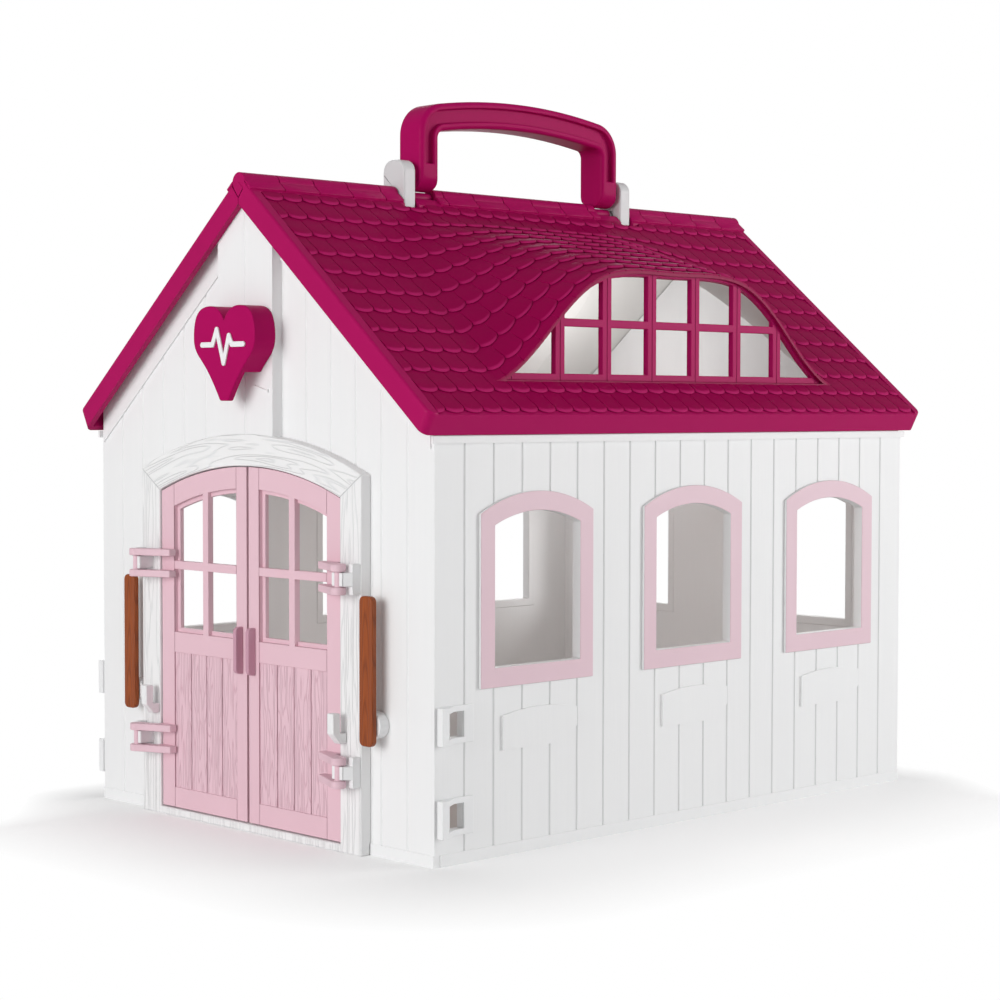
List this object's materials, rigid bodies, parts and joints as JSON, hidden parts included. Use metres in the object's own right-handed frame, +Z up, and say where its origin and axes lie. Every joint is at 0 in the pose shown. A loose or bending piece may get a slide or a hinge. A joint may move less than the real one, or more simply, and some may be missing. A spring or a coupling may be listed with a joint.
{
  "type": "toy horse hospital",
  "caption": "Toy stable building with a carry handle, a hinged tiled roof with eyebrow windows, double doors with lock bars, arched windows and a heart sign.",
  "frame": {"origin": "centre of the cabin's footprint, on the underside it stands on", "axes": "+Z up, -Y out through the double doors, +X to the right when looking at the rear wall from the doors"},
  "size_m": [0.195, 0.2733, 0.2648],
  "materials": {
    "white_wall": "satin moulded plastic with fine board grooves",
    "white_trim": "semi-gloss moulded plastic",
    "roof_magenta": "semi-gloss moulded plastic in scale tiles",
    "magenta": "semi-gloss moulded plastic",
    "pink": "satin moulded plastic",
    "pink_face": "white satin moulded plastic with a pink front face",
    "dark_pink": "satin moulded plastic",
    "brown_wood_look": "brown plastic with a moulded and printed wood grain",
    "floor_grey": "satin moulded plastic",
    "screw_steel": "zinc-plated steel"
  },
  "bodies": {
    "cabin": {"front_wall": "white_wall", "rear_wall": "white_wall", "right_wall": "white_wall", "left_wall": "white_wall", "floor_plate": "floor_grey", "floor_screws": "screw_steel", "door_surround": "white_trim", "hinge_clips": "white_trim", "bar_hubs": "white_trim", "bar_hooks": "white_trim", "heart_sign": "magenta", "sign_emblem": "white_trim", "fence_loops": "white_trim", "ridge_beam": "white_wall", "handle_post_front": "white_trim", "handle_post_rear": "white_trim", "ridge_pin": "screw_steel", "window_frame_rear_1": "pink_face", "window_frame_rear_2": "pink_face", "window_frame_right_1": "pink_face", "window_frame_right_2": "pink_face", "window_frame_right_3": "pink_face", "window_frame_left_1": "pink_face", "window_frame_left_2": "pink_face", "window_frame_left_3": "pink_face"},
    "door_right": {"door_right": "pink", "door_pull_right": "dark_pink", "door_hinges_right": "pink"},
    "door_left": {"door_left": "pink", "door_pull_left": "dark_pink", "door_hinges_left": "pink"},
    "lock_bar_right": {"lock_bar_right": "brown_wood_look"},
    "lock_bar_left": {"lock_bar_left": "brown_wood_look"},
    "carry_handle": {"handle": "magenta"},
    "roof_right": {"roof_right": "roof_magenta", "roof_knuckles_right": "roof_magenta", "dormer_frame_right": "magenta"},
    "roof_left": {"roof_left": "roof_magenta", "roof_knuckles_left": "roof_magenta", "dormer_frame_left": "magenta"}
  },
  "joints": [
    {"name": "door_right_swing", "type": "hinge", "parent": "cabin", "child": "door_right", "pos_m": [0.0568, -0.1362, 0.06], "axis": [0, 0, 1], "range_deg": [0, 110]},
    {"name": "door_left_swing", "type": "hinge", "parent": "cabin", "child": "door_left", "pos_m": [-0.0568, -0.1362, 0.06], "axis": [0, 0, -1], "range_deg": [0, 110]},
    {"name": "lock_bar_right_turn", "type": "hinge", "parent": "cabin", "child": "lock_bar_right", "pos_m": [0.0665, -0.1317, 0.0441], "axis": [0, 1, 0], "range_deg": [-90, 0]},
    {"name": "lock_bar_left_turn", "type": "hinge", "parent": "cabin", "child": "lock_bar_left", "pos_m": [-0.0665, -0.1317, 0.0441], "axis": [0, -1, 0], "range_deg": [-90, 0]},
    {"name": "handle_fold", "type": "hinge", "parent": "cabin", "child": "carry_handle", "pos_m": [0, 0, 0.2349], "axis": [0, -1, 0], "range_deg": [-100, 100]},
    {"name": "roof_right_lift", "type": "hinge", "parent": "cabin", "child": "roof_right", "pos_m": [0, 0, 0.2263], "axis": [0, -1, 0], "range_deg": [0, 55]},
    {"name": "roof_left_lift", "type": "hinge", "parent": "cabin", "child": "roof_left", "pos_m": [0, 0, 0.2263], "axis": [0, -1, 0], "range_deg": [-55, 0]}
  ]
}
